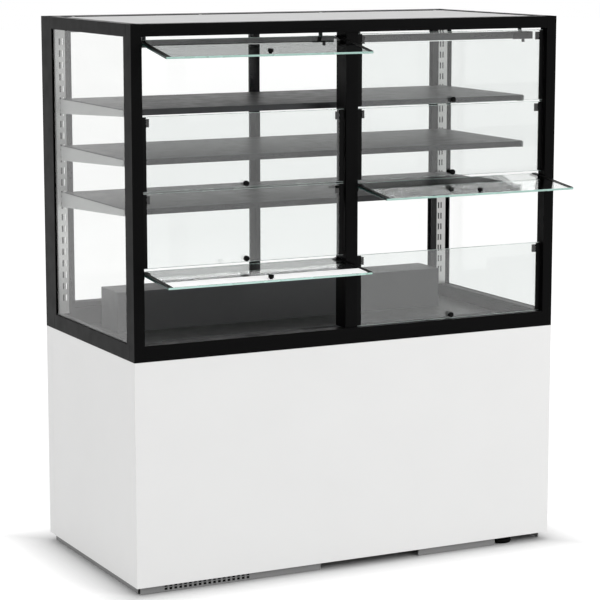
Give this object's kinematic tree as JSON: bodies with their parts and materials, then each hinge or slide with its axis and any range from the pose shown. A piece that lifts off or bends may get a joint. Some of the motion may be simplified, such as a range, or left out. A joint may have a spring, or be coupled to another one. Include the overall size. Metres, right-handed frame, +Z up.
{
  "type": "ambient display case",
  "caption": "Self-service ambient display case: white base cabinet under a black glazed frame with lift-up front flaps, shelves, top light bars and sliding rear doors.",
  "frame": {"origin": "centre of the footprint of the whole object on the floor, with the flaps as stored", "axes": "+X to the right seen from the customer's side, +Y from the front towards the rear, +Z up"},
  "size_m": [1.2, 0.7443, 1.406],
  "materials": {
    "frame_black": "satin powder coat",
    "body_white": "satin powder coat",
    "top_grey": "satin powder coat",
    "shelf_dark": "satin powder coat",
    "bracket_grey": "satin powder coat",
    "standard_steel": "brushed",
    "clear_glass": "polished, clear",
    "gasket_rubber": "matt",
    "fitting_black": "satin",
    "ticket_white": "satin film",
    "track_dark": "dark anodised",
    "bar_dark": "dark anodised",
    "lens_white": "frosted diffuser",
    "deck_grey": "satin powder coat",
    "steel_dark": "satin",
    "skirt_grey": "satin powder coat",
    "driver_grey": "satin"
  },
  "bodies": {
    "case": {"frame_post_front_left": "frame_black", "frame_post_front_right": "frame_black", "frame_post_rear_left": "frame_black", "frame_post_rear_right": "frame_black", "frame_mullion_front": "frame_black", "frame_rail_top_front": "frame_black", "frame_rail_top_rear": "frame_black", "frame_rail_top_left": "frame_black", "frame_rail_top_right": "frame_black", "frame_rail_bottom_front": "frame_black", "frame_rail_bottom_rear": "frame_black", "frame_rail_bottom_left": "frame_black", "frame_rail_bottom_right": "frame_black", "top_panel": "top_grey", "side_glass_left": "clear_glass", "side_glass_right": "clear_glass", "side_glass_gaskets": "gasket_rubber", "shelf_1": "shelf_dark", "shelf_2": "shelf_dark", "shelf_3": "shelf_dark", "shelf_brackets": "bracket_grey", "shelf_standards": "standard_steel", "rear_jambs": "track_dark", "door_tracks": "track_dark", "light_bars": "bar_dark", "light_lenses": "lens_white", "deck_plate": "deck_grey", "deck_riser": "steel_dark", "goods_stop": "steel_dark", "body_panel_front": "body_white", "body_panel_left": "body_white", "body_panel_right": "body_white", "body_panel_rear": "body_white", "cabinet_frame": "steel_dark", "plinth_skirts": "skirt_grey", "levelling_feet": "fitting_black", "power_module": "fitting_black", "led_driver": "driver_grey"},
    "flap_left_1": {"flap_glass_left_1": "clear_glass", "flap_fittings_left_1": "fitting_black"},
    "flap_left_2": {"flap_glass_left_2": "clear_glass", "flap_fittings_left_2": "fitting_black"},
    "flap_left_3": {"flap_glass_left_3": "clear_glass", "flap_fittings_left_3": "fitting_black"},
    "flap_left_4": {"flap_glass_left_4": "clear_glass", "flap_fittings_left_4": "fitting_black", "flap_ticket_strip": "ticket_white"},
    "flap_right_1": {"flap_glass_right_1": "clear_glass", "flap_fittings_right_1": "fitting_black"},
    "flap_right_2": {"flap_glass_right_2": "clear_glass", "flap_fittings_right_2": "fitting_black"},
    "flap_right_3": {"flap_glass_right_3": "clear_glass", "flap_fittings_right_3": "fitting_black"},
    "flap_right_4": {"flap_glass_right_4": "clear_glass", "flap_fittings_right_4": "fitting_black"},
    "rear_door_left": {"rear_door_glass_left": "clear_glass", "rear_door_stiles_left": "track_dark"},
    "rear_door_right": {"rear_door_glass_right": "clear_glass", "rear_door_stiles_right": "track_dark"},
    "switch_rocker": {"switch_rocker": "fitting_black"}
  },
  "joints": [
    {"name": "flap_left_1_hinge", "type": "hinge", "parent": "case", "child": "flap_left_1", "pos_m": [-0.29425, -0.2068, 1.353], "axis": [-1, 0, 0], "range_deg": [-80, 10]},
    {"name": "flap_left_2_hinge", "type": "hinge", "parent": "case", "child": "flap_left_2", "pos_m": [-0.29425, -0.2068, 1.1665], "axis": [-1, 0, 0], "range_deg": [0, 90]},
    {"name": "flap_left_3_hinge", "type": "hinge", "parent": "case", "child": "flap_left_3", "pos_m": [-0.29425, -0.2068, 0.98], "axis": [-1, 0, 0], "range_deg": [0, 90]},
    {"name": "flap_left_4_hinge", "type": "hinge", "parent": "case", "child": "flap_left_4", "pos_m": [-0.29425, -0.2068, 0.7935], "axis": [-1, 0, 0], "range_deg": [-85.5, 4.5]},
    {"name": "flap_right_1_hinge", "type": "hinge", "parent": "case", "child": "flap_right_1", "pos_m": [0.29425, -0.2068, 1.353], "axis": [-1, 0, 0], "range_deg": [0, 90]},
    {"name": "flap_right_2_hinge", "type": "hinge", "parent": "case", "child": "flap_right_2", "pos_m": [0.29425, -0.2068, 1.1665], "axis": [-1, 0, 0], "range_deg": [0, 90]},
    {"name": "flap_right_3_hinge", "type": "hinge", "parent": "case", "child": "flap_right_3", "pos_m": [0.29425, -0.2068, 0.98], "axis": [-1, 0, 0], "range_deg": [-83.5, 6.5]},
    {"name": "flap_right_4_hinge", "type": "hinge", "parent": "case", "child": "flap_right_4", "pos_m": [0.29425, -0.2068, 0.7935], "axis": [-1, 0, 0], "range_deg": [0, 90]},
    {"name": "rear_door_left_slide", "type": "slide", "parent": "case", "child": "rear_door_left", "axis": [1, 0, 0], "range_m": [0, 0.556]},
    {"name": "rear_door_right_slide", "type": "slide", "parent": "case", "child": "rear_door_right", "axis": [1, 0, 0], "range_m": [-0.556, 0]},
    {"name": "switch_rocker_tilt", "type": "hinge", "parent": "case", "child": "switch_rocker", "pos_m": [0.425, 0.36421, 0.12], "axis": [1, 0, 0], "range_deg": [0, 16]}
  ]
}
